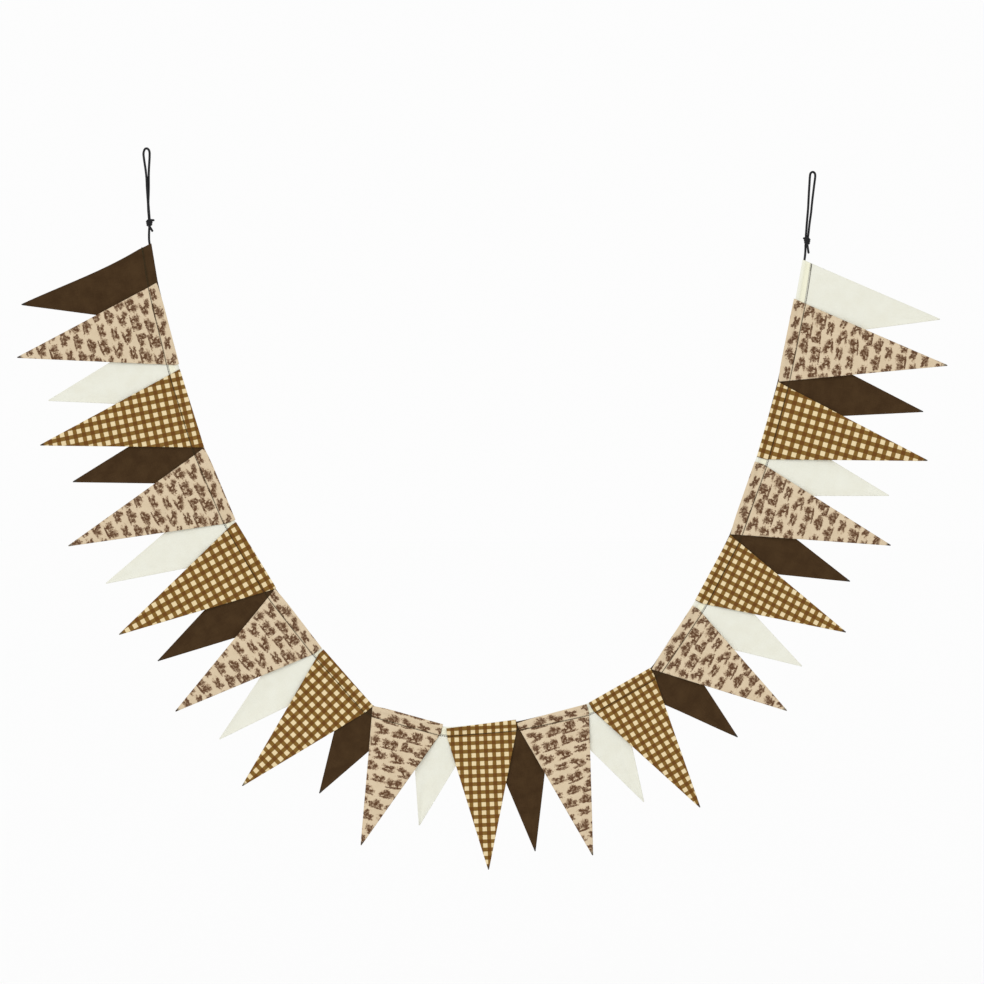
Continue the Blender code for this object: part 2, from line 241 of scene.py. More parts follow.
def length_of(route):
    return sum((b - a).length for a, b in zip(route, route[1:]))


right_knot_place = inside[-1] + RIGHT_KNOT_FROM_END
left_route = free_route(inside[0], inside[1], LEFT_KNOT, STEM_LEAVES[0], LEFT_LOOP)
right_route = free_route(inside[-1], inside[-2], right_knot_place, STEM_LEAVES[1], RIGHT_LOOP)
print("left cord", round(length_of(left_route), 4), "m, right cord", round(length_of(right_route), 4), "m")

# %% [markdown]
# A cord could be a curve with a round bevel. Here it is a ring that is extruded from point to point
# of its route, because that also gives each point its distance along the cord, which the ribs of
# the finish need. The ring turns by the smallest angle each time, so the faces don't twist.

# %% Sweep a ring along a route
SIDES = 12


def data_of(mesh, name):
    """The finished data of a bmesh, which is used up."""
    data = bpy.data.meshes.new(name)
    mesh.to_mesh(data)
    mesh.free()
    return data


def swept(name, route, radius, swell=None):
    """A closed round tube, whose UVs hold the metres along it. Swell scales its rings."""
    swell = swell or [1.0] * len(route)
    mesh = bmesh.new()
    ring = bmesh.ops.create_circle(mesh, segments=SIDES, radius=radius)["verts"]
    travelled = dict.fromkeys(ring, 0.0)
    ahead = (route[1] - route[0]).normalized()
    turn = Vector((0.0, 0.0, 1.0)).rotation_difference(ahead).to_matrix() * swell[0]
    bmesh.ops.transform(mesh, matrix=Matrix.Translation(route[0]) @ turn.to_4x4(), verts=ring)
    distance = 0.0
    for number in range(1, len(route)):
        old_edges = [e for e in {e for v in ring for e in v.link_edges} if all(v in ring for v in e.verts)]
        made = bmesh.ops.extrude_edge_only(mesh, edges=old_edges)["geom"]
        fresh = [item for item in made if isinstance(item, bmesh.types.BMVert)]
        distance += (route[number] - route[number - 1]).length
        travelled.update(dict.fromkeys(fresh, distance))
        following = route[min(number + 1, len(route) - 1)]
        direction = (following - route[number - 1]).normalized()
        step = ahead.rotation_difference(direction).to_matrix() * (swell[number] / swell[number - 1])
        move = Matrix.Translation(route[number]) @ step.to_4x4() @ Matrix.Translation(-route[number - 1])
        bmesh.ops.transform(mesh, matrix=move, verts=fresh)
        ahead = direction
        ring = fresh
    bmesh.ops.holes_fill(mesh, edges=mesh.edges, sides=SIDES)
    bmesh.ops.recalc_face_normals(mesh, faces=mesh.faces)
    layer = mesh.loops.layers.uv.new("Cord")
    for face in mesh.faces:
        face.smooth = len(face.verts) == 4
        for loop in face.loops:
            loop[layer].uv = (0.0, travelled[loop.vert])
    obj = add_object(name, data_of(mesh, name))
    print(f"{name}: {length_of(route) * 1000:.0f} mm long, {len(obj.data.polygons)} faces")
    return obj


left_cord = swept("left_loop_cord", left_route, LOOP_RADIUS)
right_cord = swept("right_loop_cord", right_route, LOOP_RADIUS)

# %% [markdown]
# Inside the casings the same cord runs from end to end. It shows only where it comes out, so it
# needs no more than the stations of the line.

# %% Cord in the casings
casing_cord = swept("casing_elastic", inside, CORD_RADIUS)

# %% [markdown]
# ## The knots
#
# Each knot is a few tight turns of the cord around its own strands, with two short ends left
# sticking out. The turns are a helix worked out by a loop. It leans, and it narrows downwards,
# because each turn is pulled against the one above. The ends run straight to the places that the
# solids give them, and their last few rings shrink, as the heat-sealed end of a cord does.

# %% Knots
KNOT_CORD = 1.8 * MM  # radius of the cord, pulled tight
TURNS = 3
TURN_STEPS = 30
KNOT_REACH = Vector((3.7, 3.4, 4.4)) * MM  # half width and depth of the helix, half its height
KNOT_TAPER = (1.2, 0.8)  # size of the first and last turn
KNOT_LEAN = math.radians(22)
SEALED = (0.35, 0.75, 0.95)  # size of the last rings of an end
LEFT_TAILS = ((8.2, -1.0, 4.2), (5.6, -2.2, -14.2))
RIGHT_TAILS = ((-6.4, -1.0, 4.2), (2.4, -3.0, -20.4))


def knot_route(centre, tails, hand):
    """From the tip of one end, around the strands, to the tip of the other. Hand is 1 or -1."""
    lean = Matrix.Rotation(-hand * KNOT_LEAN, 3, "Y")
    places = []
    for step in range(TURN_STEPS + 1):
        share = step / TURN_STEPS
        turn = math.radians(-90 - hand * 360 * TURNS * share)
        size = KNOT_TAPER[0] + (KNOT_TAPER[1] - KNOT_TAPER[0]) * share
        across = Vector((KNOT_REACH.x * math.cos(turn), KNOT_REACH.y * math.sin(turn), 0.0)) * size
        places.append(lean @ across + Vector((0.0, 0.0, KNOT_REACH.z * (1 - 2 * share))))
    first, last = (Vector(tail) * MM for tail in tails)
    return [centre + place for place in [first, *places, places[-1].lerp(last, 0.5), last]]


def sealed_ends(route):
    """The route with three close stations at each end, and the ring sizes that round them off."""
    def end_stations(tip, inner):
        into = (inner - tip).normalized() * KNOT_CORD
        return [tip, tip + into * 0.25, tip + into * 0.6]
    start = end_stations(route[0], route[1])
    finish = end_stations(route[-1], route[-2])
    sizes = [*SEALED, *[1.0] * (len(route) - 2), *reversed(SEALED)]
    return [*start, *route[1:-1], *reversed(finish)], sizes


def tied_knot(name, centre, tails, hand):
    route, sizes = sealed_ends(smooth_route(knot_route(centre, tails, hand), 4))
    return swept(name, route, KNOT_CORD, sizes)


left_knot = tied_knot("left_tied_knot", LEFT_KNOT, LEFT_TAILS, 1)
right_knot = tied_knot("right_tied_knot", right_knot_place, RIGHT_TAILS, -1)

# %% [markdown]
# The new cords and knots take the place of the solids' ones, which are hidden, and join the root of
# the frame. The cord in the casings is held all the way and is no free cord.

# %% Join the cords to the frame
for free, knot, route in ((left_cord, left_knot, left_route), (right_cord, right_knot, right_route)):
    round(length_of(route), 3)
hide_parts("left_stem", "left_loop")
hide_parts("right_stem", "right_loop")
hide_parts("casing_cord")
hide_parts("left_knot")
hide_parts("right_knot")
elastic_pieces = (left_cord, right_cord, casing_cord, left_knot, right_knot)
for piece in elastic_pieces:
    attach(piece, "root")

# %% [markdown]
# ## How the cloth is folded
#
# A cut across the top edge shows how the rows go together. The back row's cloth goes up in front,
# over the cord and down behind, and its two layers meet below the cord. The front row's cloth lies
# in front of that with a sharp fold, and its hem is turned down between its face and the casing.
# Both are lines of (depth, forward) places on the face side, from the fold down to the bottom of
# the hem. The hem side is the same line mirrored, so one profile does both.

# %% Profiles of the folds
HEM = 21.0 * MM
AIR = 0.1 * MM  # between layers that lie on each other
LAYER = CLOTH + AIR
CHANNEL = CORD_DEPTH - CLOTH / 2  # cord's centre to the middle of the cloth around it
CASING_CLOSED = 9.0 * MM
FRONT_RIDGE = 4.5 * MM  # down to here the front row stands out over the cord
FRONT_CLOSED = 12.0 * MM
TURN_OVER = 0.33 * MM  # radius of the front row's sharp fold
PROFILE_STEPS = 12


def soft_step(share):
    return share * share * (3 - 2 * share)


def profile(round_centre, radius, ridge_end, closed, ridge, flat):
    """Lengths along the cloth, depths and forward places of the face side, below one fold.

    The fold is a quarter circle about a point at the depth round_centre, the middle of both sides
    is at ridge forward until ridge_end and at flat from closed on, and half their distance there is
    LAYER / 2.
    """
    places = []
    for step in range(PROFILE_STEPS + 1):
        angle = math.pi / 2 * step / PROFILE_STEPS
        places.append((round_centre - radius * math.cos(angle), ridge, radius * math.sin(angle)))
    for step in range(PROFILE_STEPS + 1):
        share = step / PROFILE_STEPS
        eased = soft_step(share)
        depth = ridge_end + (closed - ridge_end) * share
        places.append((depth, ridge + (flat - ridge) * eased, radius + (LAYER / 2 - radius) * eased))
    places.append((HEM, flat, LAYER / 2))
    depth, middle, half = (np.array(column) for column in zip(*places))
    steps = np.hypot(np.diff(depth), np.diff(middle + half))
    return np.concatenate(([0.0], np.cumsum(steps))), depth, middle, half


casing_profile = profile(CORD_DEPTH, CHANNEL, CORD_DEPTH + 0.3 * MM, CASING_CLOSED, 0.0, 0.0)
front_profile = profile(
    CLOTH / 2 + TURN_OVER, TURN_OVER, FRONT_RIDGE, FRONT_CLOSED,
    CHANNEL + LAYER + TURN_OVER, 2 * LAYER)
print("one side of the casing takes", round(casing_profile[0][-1] * 1000, 1), "mm of cloth")

# %% [markdown]
# ## Cutting a pennant out flat
#
# A real pennant is cut on a table and folded afterwards, and so is this one. A grid of small faces
# stands for the flat cloth: fine rows where it will be folded and sewn, wider rows below. Two
# slanted cuts with bisect_plane take it down to its point, so the faces stay even in size. Some
# corners have a shoulder: between the fold and the seam the side goes straight down before it turns
# towards the point. The hem has the same sides as the face in front of it, because both are cut in
# one go when the cloth is already folded.
#
# While the cloth is flat, it gets three UV maps in metres: its place along and below the line of
# stitches, how far it is from its cut edges, and its place on the bolt of cloth.

# %% Flat cloth
COLUMN = 2.5 * MM
ROW = 3.0 * MM
TIP_WIDTH = 1.4 * MM
SEAM = 18.0 * MM  # line of stitches below the fold, on average
# Rows in mm from the fold, closer where the cloth turns and where it is sewn
FOLD_ROWS = (0.0, 0.25, 0.5, 0.8, 1.3, 2.0, 2.8, 3.6, 4.4, 5.4, 6.6, 7.8, 9.2, 10.6, 12.0, 13.4, 14.6,
             15.5, 16.4, 17.4)
Outline = namedtuple("Outline", "width lean length end shoulders")


def triangle_at(outline, down):
    """Left and right side of the whole triangle, so far below the fold."""
    share = np.abs(down) / outline.length
    left = -outline.width / 2 + (outline.lean + outline.width / 2) * share
    right = outline.width / 2 + (outline.lean - outline.width / 2) * share
    return left, right


def sides_at(outline, down):
    """Left and right edge of the cloth, so far below the fold: the triangle without its shoulders."""
    first, last = (np.maximum(np.abs(down), shoulder) for shoulder in outline.shoulders)
    return triangle_at(outline, first)[0], triangle_at(outline, last)[1]


def flat_cloth(name, outline, hem_length):
    """A mesh of the flat pennant in the XY plane: x along the fold, y down from it."""
    hem_rows = [hem_length * mm / FOLD_ROWS[-1] for mm in FOLD_ROWS]
    body = math.ceil((outline.end - hem_length) / ROW)
    rows = [-row for row in reversed(hem_rows[1:])] + hem_rows
    rows += [hem_length + (outline.end - hem_length) * step / body for step in range(1, body + 1)]
    columns = math.ceil(outline.width / COLUMN)
    mesh = bmesh.new()
    bmesh.ops.create_grid(mesh, x_segments=columns, y_segments=len(rows) - 1, size=0.5)
    for vert in mesh.verts:
        down = rows[round((vert.co.y + 0.5) * (len(rows) - 1))]
        left, right = sides_at(outline, min(abs(down), hem_length))
        vert.co = (left + (right - left) * (vert.co.x + 0.5), down, 0.0)
    for edge, slope in ((-1, outline.lean + outline.width / 2), (1, outline.lean - outline.width / 2)):
        low = {v for v in mesh.verts if v.co.y > hem_length - ROW / 100}
        low_faces = [f for f in mesh.faces if low.issuperset(f.verts)]
        geometry = [*low, *{e for f in low_faces for e in f.edges}, *low_faces]
        cut = Vector((outline.length, -slope, 0.0)).normalized() * edge
        bmesh.ops.bisect_plane(mesh, geom=geometry, plane_co=(edge * outline.width / 2, 0.0, 0.0),
                               plane_no=cut, clear_outer=True, dist=1e-7)
    return data_of(mesh, name)


print("a hem has", len(FOLD_ROWS) - 1, "rows of small faces")

# %% [markdown]
# ## Folding and hanging a pennant
#
# The flat pennant is then moved, point by point, to where it hangs. Across, a point keeps its share
# of the width. Down, it follows the profile of the fold and then runs straight to the pennant's
# point. Below the seam the cloth is free: its point swings, its middle bellies, and soft waves run
# down it. Front pennants move only forward and back pennants only backward, so the rows never cut
# through each other.

# %% Hang a pennant
# Along the line of folds in mm, and how deep the stitches run there
SEAM_STATIONS = (
    (0, 16.0), (203, 18.4), (466, 18.4), (714, 17.8), (836, 16.6), (958, 15.0), (1072, 15.6), (1188, 19.0),
    (1304, 18.2), (1430, 20.3), (1681, 20.2), (1810, 19.6), (1945, 17.2), (2010, 15.6))
SEAM_WANDER = 0.3 * MM  # and how far they stray from that
PUCKER = 0.22 * MM  # height of the small puckers at the stitches
CURL = 0.5 * MM  # how far the cut edges curl
CURL_WIDTH = 9.0 * MM
SEAM_TUCK = 1.7 * MM  # length of cloth that the stitches take up
TUCK_WIDTH = 5.0 * MM
SOFT_WAVES = (1.1, 1.9, 3.1)  # waves across a pennant
PUCKER_RATES = (640, 410)  # radians to the metre of seam
PUCKER_REACH = (11.0 * MM, 3.0 * MM)  # below the stitches and above them
WAVES_GROW = 0.6  # share of the way down over which the waves grow
CURL_GROWS = 0.15  # and the curl of the cut edges
Hanging = namedtuple("Hanging", "row stations tip profile lay hollow")
# A station has its point on the line, and how far the fold rises above it
Station = namedtuple("Station", "share point drop rise")
# How the cut was laid on its cloth
Lay = namedtuple("Lay", "tilt across down scale")


def seam_depth(distance):
    """Depth of the stitches below the fold, at a distance along the whole line of folds."""
    places, depths = np.array(SEAM_STATIONS).T * MM
    wander = SEAM_WANDER * (np.sin(distance * 23.0) + 0.6 * np.sin(distance * 61.0 + 1.3)) / 1.6
    return np.interp(distance, places, depths) + wander


def arch(share):
    """Nought at both ends and one in the middle."""
    return 4 * share * (1 - share)


def soft_waves(across, down, rng):
    """Between nought and one: a few uneven folds that run from the seam down to the point."""
    height = np.zeros_like(across)
    for waves in SOFT_WAVES:
        phase, slant = rng.uniform(0, 6.28), rng.uniform(-0.9, 0.9)
        height += np.sin(2 * math.pi * waves * (across + slant * down * 0.5) + phase) / waves
    return 0.5 + 0.25 * height


def puckers(along_line, below, rng):
    """Between nought and one: short wrinkles that the seam draws into the cloth below it."""
    ripple = sum(np.sin(along_line * rate + rng.uniform(0, 6.28)) for rate in PUCKER_RATES)
    reach = np.where(below > 0, *PUCKER_REACH)
    return (0.5 + 0.25 * ripple) * np.exp(-(below / reach) ** 2)


def vectors_at(places, known, vectors):
    """Vectors at these places, between those at the known ones."""
    return np.array([np.interp(places, known, axis) for axis in np.array(vectors).T]).T


def folds_of(stations):
    return [station.point - station.drop * station.rise for station in stations]


def share_across(outline, x, y):
    """How far across the whole triangle a flat point lies, from nought at its left to one."""
    left, right = triangle_at(outline, y)
    return (x - left) / (right - left)


def from_side(outline, x, y):
    """How far a flat point lies inside the nearest cut side."""
    left, right = sides_at(outline, y)
    return np.minimum(x - left, right - x)


def hung_places(x, y, outline, hanging, rng):
    """Where the flat points (x along the fold, y below it) come to hang."""
    row, stations, lengths = hanging.row, hanging.stations, hanging.profile[0]
    across = np.clip(share_across(outline, x, y), 0.0, 1.0)
    shares = [station.share for station in stations]
    base = vectors_at(across, shares, folds_of(stations))
    drop = vectors_at(across, shares, [station.drop for station in stations])
    drop /= np.linalg.norm(drop, axis=1)[:, None]
    depth, middle, half = (np.interp(np.abs(y), lengths, column) for column in hanging.profile[1:])
    on_face = y >= 0
    to_tip = np.array(hanging.tip) - base
    reach = np.sum(to_tip * drop, axis=1)
    share = np.clip((y - lengths[-1]) / (outline.end - lengths[-1]), 0.0, 1.0)
    hem_share, end_share = HEM / reach, 1 - TIP_WIDTH / outline.width
    down = np.where(share > 0, hem_share + (end_share - hem_share) * share, depth / reach)
    away = row.swing * MM * share ** 2 + row.belly * MM * arch(across) * arch(share)
    away += row.wave * MM * soft_waves(across, share, rng) * soft_step(np.minimum(share / WAVES_GROW, 1.0))
    curl = np.exp(-(from_side(outline, x, y) / CURL_WIDTH) ** 2)
    away += CURL * curl * soft_step(np.minimum(share / CURL_GROWS, 1.0))
    away += PUCKER * puckers(x, y - SEAM, rng) * on_face
    places = base + to_tip * down[:, None]
    places[:, 1] -= middle + np.where(on_face, half, -half)
    places[:, 1] -= away if hanging.profile is front_profile else -away
    deepest_one = 27 / 4 * share * (1 - share) ** 2
    sag = hanging.hollow * MM * deepest_one * (1 - across) ** 2
    chord = np.array(stations[-1].point - stations[0].point)
    return places + sag[:, None] * chord / np.linalg.norm(chord)


def uv_map(data, name, across, down):
    """A UV map from two lists of metres, one pair for each point."""
    layer = data.uv_layers.new(name=name)
    corners_of = np.empty(len(data.loops), dtype=np.int32)
    data.loops.foreach_get("vertex_index", corners_of)
    places = np.stack([across, down], axis=1)[corners_of]
    layer.data.foreach_set("uv", places.astype(np.float32).ravel())


def sewn_pennant(name, outline, hanging, distance, rng):
    """One pennant, cut flat, mapped, folded and given its thickness, and its flat area."""
    data = flat_cloth(name, outline, hanging.profile[0][-1])
    flat_area = sum(face.area for face in data.polygons)
    flat = np.empty(len(data.vertices) * 3)
    data.vertices.foreach_get("co", flat)
    x, y = flat[0::3], flat[1::3]
    shares, rises = zip(*[(station.share, station.rise) for station in hanging.stations])
    below_seam = y - seam_depth(x + distance) - np.interp(share_across(outline, x, y), shares, rises)
    uv_map(data, "Seam", x + distance, below_seam)
    uv_map(data, "Cut", from_side(outline, x, y), outline.end - y)
    lay = hanging.lay
    turn = math.radians(lay.tilt)
    down = y - SEAM_TUCK * (1 - soft_step(np.clip(below_seam / TUCK_WIDTH + 0.5, 0.0, 1.0)))
    along_bolt = x * math.cos(turn) + down * math.sin(turn) + lay.across * MM
    down_bolt = down * math.cos(turn) - x * math.sin(turn) + lay.down * MM
    uv_map(data, "Bolt", along_bolt * lay.scale, down_bolt * lay.scale)
    data.vertices.foreach_set("co", hung_places(x, y, outline, hanging, rng).ravel())
    data.update()
    if sum(face.normal.y * face.area for face in data.polygons) > 0:
        data.flip_normals()
    data.shade_smooth()
    obj = add_object(name, data)
    thick = obj.modifiers.new("cloth thickness", "SOLIDIFY")
    thick.thickness = CLOTH
    thick.offset = 0.0
    thick.material_offset = 1
    thick.material_offset_rim = 0
    return obj, flat_area

# %% [markdown]
# ## The front row
#
# Fifteen pennants, printed and checked in turn, one to each run of the line. Where a checked pennant
# meets a printed one their corners touch and the printed one starts a little low, so a sliver of
# brown casing shows above it. Where a printed one meets a checked one, the cream casing shows in a
# small gap. No fold lies quite on the line: some were sewn on a little high or low.
#
# The printed pennants were all cut at nearly the same place of the design. The checked ones were laid
# on their cloth by eye, so the check leans, starts and stretches differently on each.

# %% Front row
CORNER_DIP = 1.8 * MM
DIP_RUN = 0.3  # share of the width over which the dip dies out
STATION_SHARES = [step / 24 for step in range(25)]
CHECK_REPEAT = 13.1  # mm, the check's pitch on the bolt
# For each checked pennant: lean of the check in degrees, its pitch as it hangs, and how far a
# light square lies from the middle of the fold, along it and below it, in mm
CHECKED = (
    (5.25, 13.9, -1.8, 3.9), (2.25, 14.25, 5.3, -4.0), (-2.5, 13.7, 5.2, 4.0), (5.0, 13.1, -1.4, -2.1),
    (-1.25, 13.2, 5.9, -0.5), (-0.75, 13.3, 0.2, 1.1), (0.0, 14.5, 2.7, -1.5))
PRINT_PLACE = (211.0, 96.0)  # mm along and down the printed cloth, at the middle of the fold


def check_lay(tilt, pitch, across, down):
    """Lay with a light square at this place. Brown bars are at whole repeats of the bolt."""
    return Lay(tilt, pitch / 2 - across, pitch / 2 - down, CHECK_REPEAT / pitch)


def print_lay(rng):
    across, down = PRINT_PLACE
    return Lay(rng.uniform(-1.5, 1.5), across + rng.uniform(-2, 2), down + rng.uniform(-3, 3), 1.0)


def tip_of(row, start, end):
    """The point of a pennant that hangs between start and end."""
    chord = (end - start).normalized()
    return (start + end) / 2 + chord * row.lean * MM + outward(chord) * row.drop * MM


def rise_at(row, share):
    return (row.rise_first + (row.rise_last - row.rise_first) * share) * MM


pennants = []
numbers = {}


def hang(hanging, middle, rng, shoulders=(0.0, 0.0)):
    """Cut the next pennant of its cloth so that it fits there, and hang it. Returns its outline."""
    cloth = hanging.row.cloth
    numbers[cloth] = numbers.get(cloth, 0) + 1
    name = f"{cloth}_{numbers[cloth]}"
    folds = folds_of(hanging.stations)
    width = sum((b - a).length for a, b in zip(folds, folds[1:]))
    chord = (folds[-1] - folds[0]).normalized()
    to_tip = hanging.tip - (folds[0] + folds[-1]) / 2
    above = hanging.profile[0][-1]
    length = to_tip.dot(outward(chord)) + (above - HEM)
    outline = Outline(width, to_tip.dot(chord), length, length * (1 - TIP_WIDTH / width), shoulders)
    pennant, area = sewn_pennant(f"{name}_pennant", outline, hanging, middle, rng)
    left, right = sides_at(outline, 0.0)
    size = (float(right - left), float(outline.end + above))
    pennants.append((pennant, cloth, name, size, area))
    return outline


front_spans = []  # start and end of each front pennant along the line of stitches
distance = FIRST_RUN[0] * MM
for index, row in enumerate(FRONT_ROW):
    start, end = corners[index + 1], corners[index + 2]
    direction = (end - start).normalized()
    first, last = start + direction * row.first[0] * MM, end - direction * row.last[0] * MM
    dip = CORNER_DIP if row.cloth == "toile" else 0.0
    stations = []
    for share in STATION_SHARES:
        rise = rise_at(row, share) - dip * max(1 - share / DIP_RUN, 0.0) ** 2
        stations.append(Station(share, first.lerp(last, share), outward(direction), rise))
    rng = random.Random(100 + index)
    lay = print_lay(rng) if row.cloth == "toile" else check_lay(*CHECKED[numbers.get("gingham", 0)])
    hanging = Hanging(row, stations, tip_of(row, start, end), front_profile, lay, 0.0)
    middle = distance + row.run * MM / 2 + (row.first[0] - row.last[0]) * MM / 2
    outline = hang(hanging, middle, rng, (row.first[1] * MM, row.last[1] * MM))
    front_spans.append([middle + float(side) for side in sides_at(outline, SEAM)])
    distance += row.run * MM
print("front row:", len(pennants), "pennants")

# %% [markdown]
# ## The back row
#
# Sixteen pennants, brown and cream in turn, each from the middle of one front pennant to the middle
# of the next. Their top edges turn with the line, so their stations are the ends and the rounded
# corner between them. Some sit a little low on the cord, and on a few the upper side sags into a
# soft hollow.

# %% Back row
Back = namedtuple("Back", "cloth drop lean rise_first rise_last swing belly wave hollow")
SHARED_EDGE = 0.8 * MM  # between neighbours, hidden by the front row
BACK_ROW = [Back(("brown", "cream")[number % 2], *row) for number, row in enumerate((
    (226.9, -13.8, 0.0, 0.0, 4.0, 2.5, 2.2, 3.4),
    (220.0, -4.1, 0.0, 0.0, 2.5, 1.5, 0.8, 1.0),
    (222.4, -19.3, 0.0, 0.0, 5.0, 2.0, 0.9, 0.0),
    (236.8, -4.5, 0.0, 0.0, 3.0, 1.0, 0.9, 0.5),
    (227.6, -9.9, 0.0, 0.0, 4.5, 2.0, 0.8, 0.0),
    (223.5, 7.1, 0.0, 0.0, 2.0, 2.5, 1.0, 0.4),
    (183.4, 3.3, 0.0, 0.0, 6.0, 2.0, 0.8, 0.0),
    (174.1, -24.1, 0.0, 0.0, 5.0, 3.0, 2.8, 1.6),
    (218.0, -6.2, -0.6, -1.5, 3.5, 2.0, 1.0, 0.0),
    (190.0, 28.0, -1.0, 0.0, 4.5, 3.0, 2.4, 0.0),
    (192.8, 23.3, 0.0, 0.0, 5.5, 1.5, 0.8, 1.8),
    (206.5, -0.3, 0.0, -1.2, 3.0, 2.0, 0.9, 0.6),
    (214.8, 6.4, -1.8, -0.4, 4.0, 2.5, 0.9, 0.8),
    (225.9, 8.3, 0.0, -0.8, 2.5, 1.0, 0.8, 0.5),
    (243.5, 8.7, -1.2, 0.0, 5.0, 2.0, 1.0, 0.5),
    (237.6, 16.1, 0.0, 0.0, 3.5, 2.0, 1.2, 0.0),
))]

middles = [(a + b) / 2 for a, b in zip(corners[1:-2], corners[2:-1])]
ends = [corners[0], *middles, corners[-1]]
distance = 0.0
for index, row in enumerate(BACK_ROW):
    start, end = ends[index], ends[index + 1]
    bend = bend_stations(index + 1)
    into, out = (bend[0][0] - start).normalized(), (end - bend[-1][0]).normalized()
    places = [(start + into * SHARED_EDGE / 2, outward(into)), *bend,
              (end - out * SHARED_EDGE / 2, outward(out))]
    steps = [(b[0] - a[0]).length for a, b in zip(places, places[1:])]
    width = sum(steps)
    stations = []
    for number, (point, drop) in enumerate(places):
        share = sum(steps[:number]) / width
        stations.append(Station(share, point, drop, rise_at(row, share)))
    rng = random.Random(200 + index)
    lay = Lay(rng.uniform(-2.5, 2.5), rng.uniform(-900, 900), rng.uniform(-900, 900), 1.0)
    hanging = Hanging(row, stations, tip_of(row, start, end), casing_profile, lay, row.hollow)
    hang(hanging, distance + width / 2, rng)
    distance += width + SHARED_EDGE
print("back row:", len(BACK_ROW), "pennants; both rows:", len(pennants))

# %% [markdown]
# Every pennant takes the place of its solid, and the script prints the size it was cut to: its full
# width at the fold, its length with the hem, and its flat area, which was measured while the cloth
# was still flat.

for pennant, cloth, node, size, area in pennants:
    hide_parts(node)
    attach(pennant, "root")
    print(f"{node}: {size[0] * 1000:.0f} x {size[1] * 1000:.0f} mm, {area * 1e4:.0f} square cm")

# %% [markdown]
# ## The stitches
#
# One line of lockstitch runs the whole length, 15 to 20 mm below the folds, with a few stitches back
# and forth at both ends so that it can't come undone. Each stitch dips into the cloth at both ends,
# so a small stretched ball is its true shape. It lies on whatever cloth is there: on a front
# pennant, or in the gaps on the casing, and behind on the hems of the casing.

# %% Thread
STITCH_PITCH = 2.6 * MM
STITCH_HALF = (1.45 * MM, 0.62 * MM, 0.35 * MM)  # half length, width and thickness
SEAM_START, SEAM_STOP = 4.8 * MM, 3.6 * MM  # the cut edges of the outer pennants
BACKTACK = 12.0 * MM  # length that is sewn twice at each end
BACKTACK_STITCHES = 5
BACKTACK_ASIDE = 0.5 * MM
ON_FRONT_ROW = 2 * LAYER + LAYER / 2 + CLOTH / 2 + 0.12 * MM
ON_BACK_ROW = LAYER / 2 + CLOTH / 2 + 0.04 * MM

line_points, line_drops = zip(*line)
line_steps = [(b - a).length for a, b in zip(line_points, line_points[1:])]
line_lengths = np.concatenate(([0.0], np.cumsum(line_steps)))


def seam_place(distance):
    """Place of the seam on the plane of the cord, and the direction of the line there."""
    drop = Vector(vectors_at(distance, line_lengths, line_drops)).normalized()
    place = Vector(vectors_at(distance, line_lengths, line_points)) + drop * float(seam_depth(distance))
    return place, Vector((-drop.z, 0.0, drop.x))


seam_end = line_lengths[-1] - SEAM_STOP
stitch_places = [(distance, 0.0) for distance in np.arange(SEAM_START, seam_end, STITCH_PITCH)]
for start in (SEAM_START, seam_end - BACKTACK):
    for step in range(BACKTACK_STITCHES):
        along_tack = BACKTACK * step / BACKTACK_STITCHES + STITCH_PITCH / 4
        stitch_places.append((start + along_tack, BACKTACK_ASIDE))


def stitches(name, side):
    """The whole line of stitches, in front (side 1) or behind (side -1)."""
    ball = bmesh.new()
    bmesh.ops.create_uvsphere(ball, u_segments=6, v_segments=5, radius=1.0)
    one_stitch = data_of(ball, "one_stitch")
    mesh = bmesh.new()
    for distance, aside in stitch_places:
        place, ahead = seam_place(distance)
        on_front_row = side > 0 and any(start < distance < end for start, end in front_spans)
        lift = ON_FRONT_ROW if on_front_row else ON_BACK_ROW
        out = Vector((0.0, -side, 0.0))
        across = out.cross(ahead)
        axes = [axis * half for axis, half in zip((ahead, across, out), STITCH_HALF)]
        place += out * lift + across * aside
        matrix = Matrix.Translation(place) @ Matrix(axes).transposed().to_4x4()
        one_stitch.transform(matrix)
        mesh.from_mesh(one_stitch)
        one_stitch.transform(matrix.inverted())
    bpy.data.meshes.remove(one_stitch)
    bmesh.ops.recalc_face_normals(mesh, faces=mesh.faces)
    for face in mesh.faces:
        face.smooth = True
    obj = add_object(name, data_of(mesh, name))
    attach(obj, "root")
    return obj


thread_pieces = [stitches("seam_in_front", 1), stitches("seam_behind", -1)]
print("stitches:", 2 * len(stitch_places))

# %% [markdown]
# ## Finishes
#
# All cloths share the same small facts: threads that go over and under each other, a dent where the
# seam pulls the cloth in, and cut edges. Each is one node group, made once and used by every cloth
# with its own values. What a node gives is held as a Value, and sums with Values add Math nodes,
# so the groups read like the formulas that they are.

# %% Helpers for node trees
class Value:
    """What a node gives. Each operator adds a Math node to the same tree."""

    def __init__(self, socket):
        self.socket = socket

    def __add__(self, other):
        return calc("ADD", self, other)

    def __sub__(self, other):
        return calc("SUBTRACT", self, other)

    def __mul__(self, other):
        return calc("MULTIPLY", self, other)

    def __truediv__(self, other):
        return calc("DIVIDE", self, other)


def feed(socket, value):
    """Wire a socket to a Value, or set it."""
    if isinstance(value, Value):
        socket.id_data.links.new(value.socket, socket)
    else:
        socket.default_value = value


def added(kind, inputs, tree=None, **settings):
    """What a new node gives. Its inputs are fed by name or number, and it joins their tree."""
    tree = tree or next(value.socket.id_data for value in inputs.values() if isinstance(value, Value))
    node = tree.nodes.new(kind)
    for setting, choice in settings.items():
        setattr(node, setting, choice)
    for label, value in inputs.items():
        feed(node.inputs[label], value)
    return [Value(socket) for socket in node.outputs]


